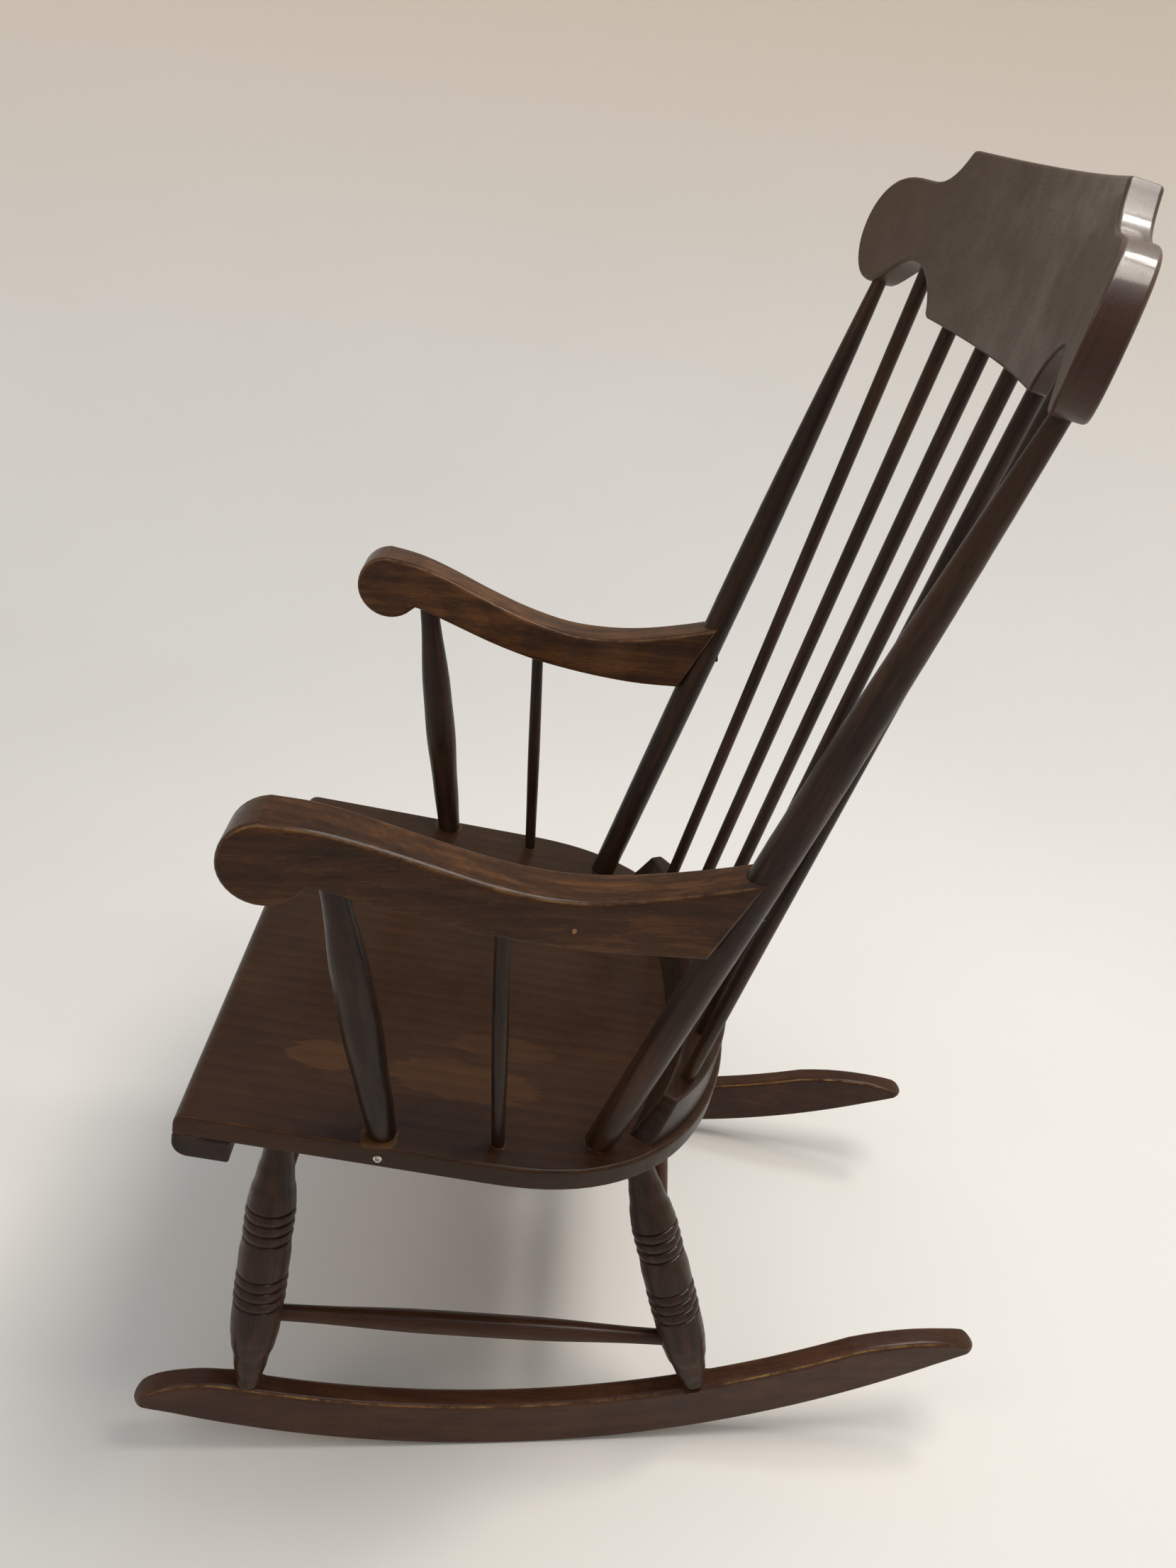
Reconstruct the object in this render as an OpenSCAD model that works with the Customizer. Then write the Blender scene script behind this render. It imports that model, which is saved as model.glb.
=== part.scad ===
// Windsor-style rocking chair, built from separate turned, sawn and bent pieces.
// Millimetres. +Z is up, the sitter faces -Y, the sitter's left hand is on +X.

/* [Seat] */
// Width of the seat plank
seat_w = 496; // [440:2:540]
// Thickness of the seat plank
seat_t = 21; // [19:1:24]
// Height of the seat's top above the floor, over the lowest point of the rockers
seat_h = 355; // [345:1:365]
// Fall of the seat towards the back, in degrees
seat_tilt = 11.3; // [10:0.1:12.5]
// Distance from the front of the seat roll to the lowest point of the rockers
seat_front = 332; // [326:1:336]
// Distance from the lowest point of the rockers to the back of the seat
seat_back = 115; // [110:1:120]
// Depth of the roll under the front edge, front to back
roll_d = 45; // [36:1:52]
// Height of the roll under the front edge
roll_h = 21.5; // [16:0.5:26]

/* [Back] */
// Height of the block that holds the spindles
rail_h = 41; // [34:1:44]
// Backward lean of that block's front face, in degrees
rail_lean = 21; // [14:1:24]
// Number of back spindles
spindle_count = 6; // [4:1:6]
// Spacing of the spindles at the crest
spindle_pitch_top = 80; // [76:1:82]
// Spacing of the spindles at the block
spindle_pitch_foot = 62; // [56:1:64]
// Diameter of a spindle at its foot
spindle_d_foot = 11.6; // [10:0.2:13]
// Diameter of a spindle at the crest
spindle_d_top = 13; // [12:0.2:15]

/* [Crest] */
// Inside radius of the curved crest
crest_r = 885; // [860:5:920]
// Thickness of the crest
crest_t = 22; // [20:1:26]
// Backward lean of the crest, in degrees
crest_lean = 15.5; // [14.5:0.1:16.5]
// Half length of the crest's straight top edge
crest_top_half = 172; // [165:1:178]
// Height of the crest's top edge above the crest's own origin
crest_top = 59; // [56:1:62]
// Depth of the crest's bottom edge below the crest's own origin
crest_foot = 68; // [66:1:70]

/* [Arms] */
// Radius of the rolled front of an armrest
scroll_r = 31.5; // [30:0.5:34]
// Diameter of the back posts where the arms meet them
post_d = 26.6; // [25:0.2:28]
// Largest diameter of the turned stumps under the arms
stump_d = 31; // [28:0.5:33]
// Diameter of the plain spindle under the middle of each arm
arm_spindle_d = 12.6; // [11:0.2:14]

/* [Base] */
// Radius of the rockers
rocker_r = 850; // [820:5:900]
// Thickness of a rocker board
rocker_t = 21; // [18:1:25]
// Distance from the chair's middle plane to the middle of a rocker, at its lowest point
rocker_x = 211; // [208:1:214]
// Inward turn of each rocker towards the back, in degrees
rocker_toe = 6.83; // [6:0.1:7.5]
// Largest diameter of a leg
leg_d = 43.5; // [40:0.5:46]
// Largest diameter of a side stretcher
side_stretcher_d = 20; // [17:0.5:23]
// Largest diameter of a cross stretcher
cross_stretcher_d = 21; // [17:0.5:24]

/* [Fit] */
// Gap between a round tenon and its socket, on the radius
glue_gap = 0.1; // [0.05:0.05:0.2]

/* [Hidden] */
$fn = 64;

LEFT = 1;
RIGHT = -1;
body_wood = "#3b2820";
seat_wood = "#57331d";
arm_wood = "#5a3822";
steel = "#b9bdb8";
// The whole chair is rolled forward by this angle, which brings its centre of mass
// straight over the lowest point of the rockers
rest_turn = 5.38;
// The box of the whole chair is centred on the origin by this shift
centre_y = -42.8;

// Turned pieces run between these points, given for the left side: [x, y, z]
post_foot = [203, -1.8, 354.6];
post_head = [266, 244, 955];
stump_foot = [231.5, -171, 389.2];
stump_head = [256, -182.5, 640];
arm_spindle_foot = [223.5, -82, 371.5];
arm_spindle_head = [237.5, -71, 598];
front_leg_head = [190, -256.4, 384.3];
front_leg_foot = [247.8, -306.4, 112.2];
rear_leg_head = [145, 22, 328.4];
rear_leg_foot = [200.6, 87.5, 58.4];
// Places of the stretchers along each leg, as fractions of the leg from its head
front_side_place = 0.743;
rear_side_place = 0.837;
front_cross_place = 0.425;
rear_cross_place = 0.5;

crest_origin = [0, 288.3, 1000];
socket_extra = 0.6;
ring_pitch = 10;
groove_w = 3.4;
groove_depth = 2;
bead_rise = 0.7;
rear_leg_drop = 8;
leg_tenon = 14;
leg_tenon_r = 9;
foot_tenon = 18;
foot_tenon_r = 6;
post_tenon = 16;
stump_tenon = 15;
stretcher_tenon = 13;
spindle_tenon = 16;
spindle_inset = 12.3;
scroll_y = -220;
scroll_z = 663.5;
screw_r = 1.9;
screw_head_r = 3.9;
plug_r = 4.8;
plug_z = 597;

// ---- Small helpers ----

function mix(a, b, t) = a + (b - a) * t;

// Point on a cubic curve with end points a, d and handles b, c
function cubic(a, b, c, d, t) =
    a * pow(1 - t, 3) + b * 3 * t * pow(1 - t, 2) + c * 3 * t * t * (1 - t) + d * pow(t, 3);
function curve(a, b, c, d, n) = [for (i = [0:n]) cubic(a, b, c, d, i / n)];

// Smooth run through a list of points
function through_point(p, i, t) =
    let (a = p[max(i - 1, 0)], b = p[i], c = p[i + 1], d = p[min(i + 2, len(p) - 1)])
    cubic(b, b + (c - a) / 6, c - (d - b) / 6, c, t);
function through(p, n) = concat(
    [for (i = [0:len(p) - 2], k = [0:n - 1]) through_point(p, i, k / n)],
    [p[len(p) - 1]]);

function flip(p) = [for (i = [len(p) - 1:-1:0]) p[i]];
function mirrored(p) = [for (i = [len(p) - 1:-1:0]) [-p[i][0], p[i][1]]];

// Turns and moves children from the Z axis onto the line from p to q
module along(p, q) {
    d = q - p;
    translate(p) rotate([0, acos(d[2] / norm(d)), atan2(d[1], d[0])]) children();
}

// Round piece on the Z axis: stations are [height, radius], blended smoothly between them
module turned(stations, steps = 6) {
    last = len(stations) - 1;
    side = [for (i = [0:last - 1], k = [0:steps - 1])
        [mix(stations[i][1], stations[i + 1][1], (1 - cos(180 * k / steps)) / 2),
         mix(stations[i][0], stations[i + 1][0], k / steps)]];
    outline = concat([[0, stations[0][0]]], side,
        [[stations[last][1], stations[last][0]], [0, stations[last][0]]]);
    rotate_extrude($fn = 64) polygon(outline);
}

module on_side(side) {
    mirror([side == LEFT ? 0 : 1, 0, 0]) children();
}

module both_sides() {
    children();
    mirror([1, 0, 0]) children();
}

// Every piece is drawn with the middle of the rockers' curve under the Z axis, then the
// whole chair rolls to its rest: it turns about the centre of that curve
module chair() {
    roll_centre = rocker_r * pow(cos(rocker_toe), 2);
    rest_lift = rocker_t / 2 * sin(rocker_toe) * sin(rest_turn);
    translate([0, centre_y, roll_centre + rest_lift]) rotate([rest_turn, 0, 0])
        translate([0, 0, -roll_centre]) children();
}

// The seat's own frame: Z = 0 is its top face and Y runs down its slope
module seat_frame() {
    translate([0, 0, seat_h]) rotate([-seat_tilt, 0, 0]) children();
}

module crest_frame() {
    translate(crest_origin) rotate([-crest_lean, 0, 0]) children();
}

// ---- Seat ----

// Rounded back half of the seat's plan, pulled in by inset
function seat_half(inset, steps = 26) =
    let (a = seat_w / 2 - inset, b = seat_back + 90 - inset)
    [for (i = [0:steps]) let (t = 90 * i / steps)
        [a * pow(cos(t), 2 / 2.4), -90 + b * pow(sin(t), 2 / 2.4)]];

module seat_plan() {
    half = concat([[seat_w / 2, -seat_front]], seat_half(0));
    polygon(concat(half, mirrored(half)));
}

// Side view of the plank: square behind, well rounded over the front roll
module plank_profile() {
    nose = 11;
    union() {
        translate([-seat_front + nose, -seat_t]) square([seat_front + seat_back + nose, seat_t]);
        translate([-seat_front + nose, -nose]) circle(nose);
        translate([-seat_front, -seat_t]) square([nose, seat_t - nose]);
    }
}

module across(width) {
    rotate([90, 0, 90]) linear_extrude(width, center = true) children();
}

module seat_sockets() {
    both_sides() {
        leg_socket(front_leg_head, front_leg_foot);
        leg_socket(rear_leg_head, rear_leg_foot);
        round_socket(post_foot, post_head, post_tenon, post_r(0));
        round_socket(stump_foot, stump_head, stump_tenon, 9);
        round_socket(arm_spindle_foot, arm_spindle_head, stump_tenon, arm_spindle_d / 2 - 0.8);
    }
}

// Socket that takes the tenon below p, on the line from p towards q
module round_socket(p, q, depth, radius) {
    along(p, q) translate([0, 0, -depth - socket_extra])
        cylinder(h = depth + socket_extra + 12, r = radius + glue_gap);
}

module leg_socket(head, foot) {
    along(head, foot) translate([0, 0, -leg_tenon - socket_extra])
        cylinder(h = leg_tenon + socket_extra + 12, r = leg_tenon_r + glue_gap);
}

module seat_plank() {
    color(seat_wood) chair() difference() {
        seat_frame() intersection() {
            translate([0, 0, -seat_t - 5]) linear_extrude(seat_t + 10) seat_plan();
            across(seat_w + 20) plank_profile();
        }
        seat_sockets();
        seat_frame() screw_places(roll_screw_x, roll_screw_v) pilot(-seat_t - 1, 10, screw_r + 0.05);
        seat_frame() screw_places(rail_screw_x, 0) translate([0, rail_screw_y($sx), 0])
            pilot(-seat_t - 1, seat_t + 2, screw_r + 0.3);
        seat_frame() screw_places(rail_screw_x, 0) translate([0, rail_screw_y($sx), 0])
            pilot(-seat_t - 1, 4, screw_head_r + 0.3);
        seat_frame() both_sides() lock_screw_bore();
    }
}

module front_roll() {
    nose = 13;
    color(body_wood) chair() seat_frame() difference() {
        across(seat_w) translate([-seat_front, -seat_t - roll_h]) union() {
            translate([nose, 0]) square([roll_d - nose, roll_h]);
            translate([nose, nose]) circle(nose);
            translate([0, nose]) square([nose, roll_h - nose]);
        }
        screw_places(roll_screw_x, roll_screw_v)
            pilot(-seat_t - roll_h - 1, roll_h + 2, screw_r + 0.3);
        screw_places(roll_screw_x, roll_screw_v)
            pilot(-seat_t - roll_h - 1, 9, screw_head_r + 0.3);
    }
}

// ---- Screws ----

roll_screw_x = [-190, 0, 190];
roll_screw_v = 20 - seat_front + 2;
rail_screw_x = [-150, -52, 52, 150];
function rail_screw_y(x) = 88 - 0.0009 * x * x;

module screw_places(xs, y) {
    for ($sx = xs) translate([$sx, y, 0]) children();
}

module pilot(z, depth, radius) {
    translate([0, 0, z]) cylinder(h = depth, r = radius, $fn = 32);
}

// Wood screw on the Z axis: head down at Z = 0, point up
module wood_screw(length) {
    difference() {
        rotate_extrude($fn = 48) polygon([
            [0, 0], [screw_head_r, 0], [screw_head_r, 0.8], [screw_r, 2.8],
            [screw_r, length - 5], [0, length]]);
        for (a = [0, 90]) rotate([0, 0, a]) translate([-2.2, -0.45, -1]) cube([4.4, 0.9, 2.2]);
    }
}

module roll_screws() {
    color(steel) chair() seat_frame() screw_places(roll_screw_x, roll_screw_v)
        translate([0, 0, -seat_t - roll_h + 8]) wood_screw(24);
}

module rail_screws() {
    color(steel) chair() seat_frame() screw_places(rail_screw_x, 0)
        translate([0, rail_screw_y($sx), -seat_t + 3]) wood_screw(38);
}

// Bolt through the seat's edge into the foot of each stump
lock_v = -174;
lock_w = -11.5;
lock_head_r = 3.6;
lock_length = 11;

module lock_screw_bore() {
    translate([seat_w / 2 + 1, lock_v, lock_w]) rotate([0, -90, 0])
        cylinder(h = lock_length + 1.6, r = 1.6, $fn = 32);
}

module stump_lock_screws() {
    color(steel) chair() seat_frame() both_sides()
        translate([seat_w / 2, lock_v, lock_w]) rotate([0, -90, 0]) lock_screw();
}

// Round-headed bolt: its head stands on the wood and has a six-sided recess
module lock_screw() {
    difference() {
        rotate_extrude($fn = 48) polygon([
            [0, -1.6], [lock_head_r - 0.8, -1.6], [lock_head_r, -0.9], [lock_head_r, 0],
            [1.5, 0], [1.5, lock_length - 2], [0, lock_length]]);
        translate([0, 0, -2.6]) cylinder(h = 2.2, r = 1.9, $fn = 6);
    }
}

// ---- Back rail ----

rail_front_r = 539;
rail_front_y = 56.5;
rail_inset = 6;

// Front curve of the block, from the chair's middle outwards
function rail_front(x) = rail_front_y - rail_front_r + sqrt(pow(rail_front_r, 2) - x * x);

// Plan of its front curve, open to the back
module rail_front_plan() {
    front = [for (i = [0:14]) let (x = 204 * i / 14) [x, rail_front(x)]];
    half = concat(front, [[204, 200]]);
    polygon(concat(half, mirrored(half)));
}

// Plan of its rear curve, which follows the edge of the seat
module rail_rear_plan() {
    half = concat([[seat_w / 2 - rail_inset, -90]], seat_half(rail_inset));
    polygon(concat(half, mirrored(half)));
}

// Keeps only the side of a plane through p that its normal n points away from
module behind_plane(p, n) {
    along(p, p - n) translate([-300, -300, 0]) cube([600, 600, 600]);
}

module back_rail() {
    end_point = [189.7, 23.1, 0];
    end_normal = [0.78, -0.48, 0.4];
    color(body_wood) chair() difference() {
        seat_frame() intersection() {
            linear_extrude(rail_h) rail_rear_plan();
            rotate([-rail_lean, 0, 0]) translate([0, 0, -90]) linear_extrude(200) rail_front_plan();
            behind_plane(end_point, end_normal);
            mirror([1, 0, 0]) behind_plane(end_point, end_normal);
        }
        for (i = [0:spindle_count - 1])
            round_socket(spindle_foot(i), spindle_head(i), spindle_tenon, spindle_d_foot / 2);
        seat_frame() screw_places(rail_screw_x, 0) translate([0, rail_screw_y($sx), 0])
            pilot(-1, 22, screw_r + 0.05);
    }
}

// ---- Crest ----

// Left half of the crest's outline, from the middle of the top to the middle of the bottom
function crest_half() = concat(
    [[crest_top_half - 4, crest_top]],
    curve([crest_top_half, crest_top - 0.5], [176, 56], [186, 33], [216, 30], 8),
    curve([217, 30], [236, 28.5], [256, 31.5], [276, 23.5], 6),
    curve([280, 21.5], [296, 13], [306.5, -3], [306, -24], 8),
    curve([306, -26], [305, -42], [295, -61], [276, -62], 8),
    curve([272, -62], [254, -62.5], [232, -34.5], [207, -32.5], 8),
    curve([204, -32.5], [184, -32.5], [160, -46], [149, 2 - crest_foot], 8),
    [[145, -crest_foot]]);

module crest_outline() {
    half = crest_half();
    polygon(concat(half, mirrored(half)));
}

module crest_rail() {
    color(body_wood) chair() difference() {
        crest_frame() intersection() {
            translate([0, -crest_r, -100]) difference() {
                cylinder(h = 200, r = crest_r + crest_t, $fn = 360);
                translate([0, 0, -1]) cylinder(h = 202, r = crest_r, $fn = 360);
            }
            translate([0, 60, 0]) rotate([90, 0, 0]) linear_extrude(160) crest_outline();
        }
        both_sides() round_socket(post_head, post_foot, post_tenon, post_r(1));
        for (i = [0:spindle_count - 1])
            round_socket(spindle_head(i), spindle_foot(i), spindle_tenon, spindle_d_top / 2);
    }
}

// ---- Posts and spindles ----

// Diameter of a post along its length, seat to crest
function post_r(t) = t < 0.5 ? mix(12.1, post_d / 2, sin(180 * t))
    : mix(post_d / 2, 6.1, pow((t - 0.5) / 0.5, 1.7));

module back_post(side) {
    length = norm(post_head - post_foot);
    stations = concat([[-post_tenon, post_r(0)]],
        [for (i = [0:20]) [length * i / 20, post_r(i / 20)]],
        [[length + post_tenon, post_r(1)]]);
    color(body_wood) chair() on_side(side) difference() {
        along(post_foot, post_head) turned(stations, 1);
        arm_screw_line() {
            translate([0, 0, -30]) cylinder(h = 36, r = plug_r + 0.1, $fn = 40);
            cylinder(h = 60, r = screw_r + 0.3, $fn = 32);
        }
    }
}

// Point inside the crest's thickness where a spindle at x ends, on its own height u
function crest_mid(x, u) =
    let (r = crest_r + spindle_inset, y = sqrt(r * r - x * x) - crest_r)
    crest_origin + [x, y * cos(crest_lean) + u * sin(crest_lean),
        u * cos(crest_lean) - y * sin(crest_lean)];

function spindle_x(i) = i - (spindle_count - 1) / 2;

// The outermost spindles rise into the notches, the others into the bottom edge
function spindle_head(i) =
    let (x = spindle_x(i) * spindle_pitch_top)
    crest_mid(x, abs(x) > 165 ? -36 : -crest_foot + 1);

function spindle_foot(i) =
    let (x = spindle_x(i) * spindle_pitch_foot, v = 89.5 - 0.00105 * x * x, w = rail_h - 1)
    [x, v * cos(seat_tilt) + w * sin(seat_tilt),
        seat_h - v * sin(seat_tilt) + w * cos(seat_tilt)];

module back_spindle(i) {
    foot = spindle_foot(i);
    head = spindle_head(i);
    length = norm(head - foot);
    color(body_wood) chair() along(foot, head) turned([
        [-spindle_tenon, spindle_d_foot / 2], [0, spindle_d_foot / 2],
        [length * 0.9, spindle_d_top / 2], [length + spindle_tenon, spindle_d_top / 2]], 4);
}

// ---- Arms ----

// Side view of an armrest: [y, z]
arm_top_line = [[scroll_y, scroll_z + scroll_r], [-190, 688], [-160, 676], [-120, 656.5],
    [-80, 638.5], [-40, 625.5], [0, 620.5], [40, 622], [80, 627], [110, 632.5]];
arm_foot_line = [[72, 569.5], [36, 572.5], [0, 578], [-40, 586.5], [-80, 597],
    [-120, 611.5], [-160, 629], [-186, 641]];

module arm_profile() {
    scroll = [for (a = [-58:-10:-268])
        [scroll_y + scroll_r * cos(a), scroll_z + scroll_r * sin(a)]];
    polygon(concat(through(arm_top_line, 4), through(arm_foot_line, 3), [[-194, 643.5]], scroll));
}

// Plan of an armrest: [x, y] down its outer and inner edges
arm_outer_line = [[283, -260], [279.5, -215], [270.5, -160], [262.5, -110], [257, -50],
    [253, 0], [248, 45], [246, 125]];
arm_inner_line = [[240, -260], [236.5, -215], [231, -160], [223.5, -110], [216.5, -50],
    [213.5, 0], [212.5, 45], [213.5, 125]];

module arm_plan() {
    polygon(concat(through(arm_outer_line, 4), flip(through(arm_inner_line, 4))));
}

module armrest(side) {
    color(arm_wood) chair() on_side(side) difference() {
        intersection() {
            translate([250, 0, 0]) across(140) arm_profile();
            translate([0, 0, 500]) linear_extrude(260) arm_plan();
        }
        along(post_foot, post_head) translate([0, 0, 180]) cylinder(h = 160, r = post_d / 2 + 0.15);
        round_socket(stump_head, stump_foot, stump_tenon, 9);
        round_socket(arm_spindle_head, arm_spindle_foot, stump_tenon, arm_spindle_d / 2 - 0.6);
        arm_screw_line() cylinder(h = 52, r = screw_r + 0.05, $fn = 32);
    }
}

// Axis of the screw that pulls an arm against its post, running forward from the post
module arm_screw_line() {
    t = (plug_z - post_foot[2]) / (post_head[2] - post_foot[2]);
    axis_point = mix(post_foot, post_head, t);
    translate(axis_point + [0, 8, 0]) rotate([90, 0, 0]) children();
}

module arm_screws() {
    color(steel) chair() both_sides() arm_screw_line() translate([0, 0, 3.2]) wood_screw(46);
}

module post_plugs() {
    color(body_wood) chair() both_sides() arm_screw_line()
        translate([0, 0, -6.6]) cylinder(h = 9.4, r = plug_r, $fn = 40);
}

module arm_stump(side) {
    length = norm(stump_head - stump_foot);
    color(body_wood) chair() on_side(side) difference() {
        along(stump_foot, stump_head) turned([
            [-stump_tenon, 9], [0, 9], [0.5, 11.4], [length * 0.2, 13.2],
            [length * 0.45, stump_d / 2], [length * 0.62, stump_d / 2 - 0.8],
            [length * 0.98, 9.6], [length, 9], [length + stump_tenon, 9]]);
        seat_frame() lock_screw_bore();
    }
}

module arm_spindle(side) {
    length = norm(arm_spindle_head - arm_spindle_foot);
    color(body_wood) chair() on_side(side) along(arm_spindle_foot, arm_spindle_head) turned([
        [-stump_tenon, arm_spindle_d / 2 - 0.8], [0, arm_spindle_d / 2 - 0.8],
        [length * 0.5, arm_spindle_d / 2], [length, arm_spindle_d / 2 - 0.6],
        [length + stump_tenon, arm_spindle_d / 2 - 0.6]]);
}

// ---- Legs ----

// Turned leg: stations along its length, with two groups of rings. The rear legs are
// let further into the seat, so their shape sits lower by drop
function leg_shape(length, drop) =
    let (r = leg_d / 2)
    concat([[-8, 10.4], [0, 10.4]],
        [for (p = concat(
            [[50, 12.6], [72, 15.9], [89, 19.2]], rings(99.5, 20.4), [[148, r]],
            rings(165, 21.5), [[214, 21.5], [226, 20.9], [239, 19.2], [256, 15.2]]))
            [p[0] + drop, p[1]]],
        [[length, 11], [length + 2.5, 10.4]]);

// Four cut grooves, starting at a distance down the leg, with a rounded bead after each
// of the first three
function rings(start, r) =
    let (groove = [[0, r], [groove_w / 2, r - groove_depth], [groove_w, r]],
        bead = [[(ring_pitch + groove_w) / 2, r + bead_rise]])
    [for (i = [0:3], p = i < 3 ? concat(groove, bead) : groove)
        [start + i * ring_pitch + p[0], p[1]]];

module leg(side, head, foot, drop) {
    length = norm(foot - head);
    color(body_wood) chair() on_side(side) difference() {
        union() {
            difference() {
                along(head, foot) turned(leg_shape(length, drop), 3);
                seat_frame() translate([-300, -400, -seat_t]) cube([600, 600, 60]);
                rocker_blank();
            }
            along(head, foot) translate([0, 0, -leg_tenon]) cylinder(h = leg_tenon + 20, r = leg_tenon_r);
            along(foot, head) translate([0, 0, -foot_tenon]) cylinder(h = foot_tenon + 20, r = foot_tenon_r);
        }
        side_stretcher_sockets();
        both_sides() cross_stretcher_sockets();
    }
}

// ---- Stretchers ----

front_side_point = mix(front_leg_head, front_leg_foot, front_side_place);
rear_side_point = mix(rear_leg_head, rear_leg_foot, rear_side_place);
front_cross_point = mix(front_leg_head, front_leg_foot, front_cross_place);
rear_cross_point = mix(rear_leg_head, rear_leg_foot, rear_cross_place);
stretcher_end_r = 7;
stretcher_reach = 8;

function across_point(p) = [-p[0], p[1], p[2]];

// Bore that starts reach past a leg's axis and runs out along the stretcher
module stretcher_socket(p, q) {
    along(p, q) translate([0, 0, stretcher_reach - socket_extra])
        cylinder(h = 40, r = stretcher_end_r + glue_gap);
}

module side_stretcher_sockets() {
    stretcher_socket(front_side_point, rear_side_point);
    stretcher_socket(rear_side_point, front_side_point);
}

module cross_stretcher_sockets() {
    stretcher_socket(front_cross_point, across_point(front_cross_point));
    stretcher_socket(rear_cross_point, across_point(rear_cross_point));
}

module stretcher(p, q, middle_d) {
    length = norm(q - p);
    along(p, q) turned([
        [stretcher_reach, stretcher_end_r], [stretcher_reach + 18, stretcher_end_r],
        [length * 0.4, middle_d / 2], [length * 0.6, middle_d / 2],
        [length - stretcher_reach - 18, stretcher_end_r],
        [length - stretcher_reach, stretcher_end_r]]);
}

module side_stretcher(side) {
    color(body_wood) chair() on_side(side)
        stretcher(front_side_point, rear_side_point, side_stretcher_d);
}

module cross_stretcher(p) {
    color(body_wood) chair() stretcher(p, across_point(p), cross_stretcher_d);
}

// ---- Rockers ----

// Height of the rocker's underside at a distance s from its lowest point
function rocker_foot(s) = rocker_r - sqrt(rocker_r * rocker_r - s * s);

// Height of its upper edge
rocker_top_r = 840;
function rocker_top(s) = 52.5 + rocker_top_r - sqrt(rocker_top_r * rocker_top_r - pow(s + 5, 2));

// Side view: [distance towards the back, height]
module rocker_profile() {
    foot = [for (i = [0:72]) let (s = mix(-396, 346, i / 72)) [s, rocker_foot(s)]];
    back_tip = curve([351.5, 77.5], [342, 88], [290, 97], [235, rocker_top(235)], 10);
    top = [for (i = [1:38]) let (s = mix(235, -322, i / 39)) [s, rocker_top(s)]];
    front_tip = curve([-322, rocker_top(-322)], [-352, 126.8], [-387, 124], [-406.5, 106], 10);
    polygon(concat(foot, [[351, 75.5]], back_tip, top, front_tip, [[-406, 102.5]]));
}

// Plan of a rocker board: straight sides between two rounded tips
module rocker_plan() {
    reach = 9;
    polygon([for (a = [0:7.5:352.5])
        [rocker_t / 2 * cos(a), (a < 180 ? 351.5 - reach : reach - 406.5) + reach * sin(a)]]);
}

// Left rocker board, before its sockets are bored
module rocker_blank() {
    translate([rocker_x, 0, 0]) rotate([0, 0, rocker_toe]) intersection() {
        across(rocker_t) rocker_profile();
        linear_extrude(200) rocker_plan();
    }
}

module rocker(side) {
    color(body_wood) chair() on_side(side) difference() {
        rocker_blank();
        round_socket(front_leg_foot, front_leg_head, foot_tenon, foot_tenon_r);
        round_socket(rear_leg_foot, rear_leg_head, foot_tenon, foot_tenon_r);
    }
}

seat_plank();
front_roll();
back_rail();
crest_rail();
back_post(LEFT);  // left_back_post
back_post(RIGHT);  // right_back_post
for (i = [0:spindle_count - 1])
    back_spindle(i);
armrest(LEFT);  // left_armrest
armrest(RIGHT);  // right_armrest
arm_stump(LEFT);  // left_arm_stump
arm_stump(RIGHT);  // right_arm_stump
arm_spindle(LEFT);  // left_arm_spindle
arm_spindle(RIGHT);  // right_arm_spindle
leg(LEFT, front_leg_head, front_leg_foot, 0);  // front_left_leg
leg(RIGHT, front_leg_head, front_leg_foot, 0);  // front_right_leg
leg(LEFT, rear_leg_head, rear_leg_foot, rear_leg_drop);  // rear_left_leg
leg(RIGHT, rear_leg_head, rear_leg_foot, rear_leg_drop);  // rear_right_leg
side_stretcher(LEFT);  // left_side_stretcher
side_stretcher(RIGHT);  // right_side_stretcher
cross_stretcher(front_cross_point);  // front_cross_stretcher
cross_stretcher(rear_cross_point);  // rear_cross_stretcher
rocker(LEFT);  // left_rocker
rocker(RIGHT);  // right_rocker
roll_screws();
rail_screws();
arm_screws();
post_plugs();
stump_lock_screws();
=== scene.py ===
"""A Windsor-style rocking chair of dark stained, lacquered beech.

Each wooden part starts from its CAD node's own shape. Its sawn edges are eased, its surface
learns which way the timber's grain runs, and it gets a lacquered wood made of nodes.
Metres, Z up, the sitter faces -Y and the sitter's left is +X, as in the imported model.
"""

import math

import bmesh
import bpy
import numpy as np
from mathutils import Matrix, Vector
from mathutils.bvhtree import BVHTree
from mathutils.geometry import intersect_line_line_2d


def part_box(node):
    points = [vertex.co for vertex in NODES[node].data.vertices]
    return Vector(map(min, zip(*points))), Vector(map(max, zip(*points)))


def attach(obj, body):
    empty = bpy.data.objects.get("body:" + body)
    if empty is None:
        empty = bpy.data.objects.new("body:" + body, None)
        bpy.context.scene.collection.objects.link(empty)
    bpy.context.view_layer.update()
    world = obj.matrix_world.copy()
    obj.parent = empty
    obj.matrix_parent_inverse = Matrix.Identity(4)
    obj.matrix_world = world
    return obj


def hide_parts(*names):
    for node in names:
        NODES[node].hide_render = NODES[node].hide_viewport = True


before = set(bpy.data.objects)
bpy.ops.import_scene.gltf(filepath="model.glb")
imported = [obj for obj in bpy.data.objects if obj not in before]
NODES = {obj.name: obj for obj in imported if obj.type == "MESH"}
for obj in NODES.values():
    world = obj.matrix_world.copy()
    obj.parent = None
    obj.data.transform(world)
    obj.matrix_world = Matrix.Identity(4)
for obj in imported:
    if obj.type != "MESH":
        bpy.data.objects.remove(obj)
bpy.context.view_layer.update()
MM = 0.001


# ---- Node helpers ----

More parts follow.
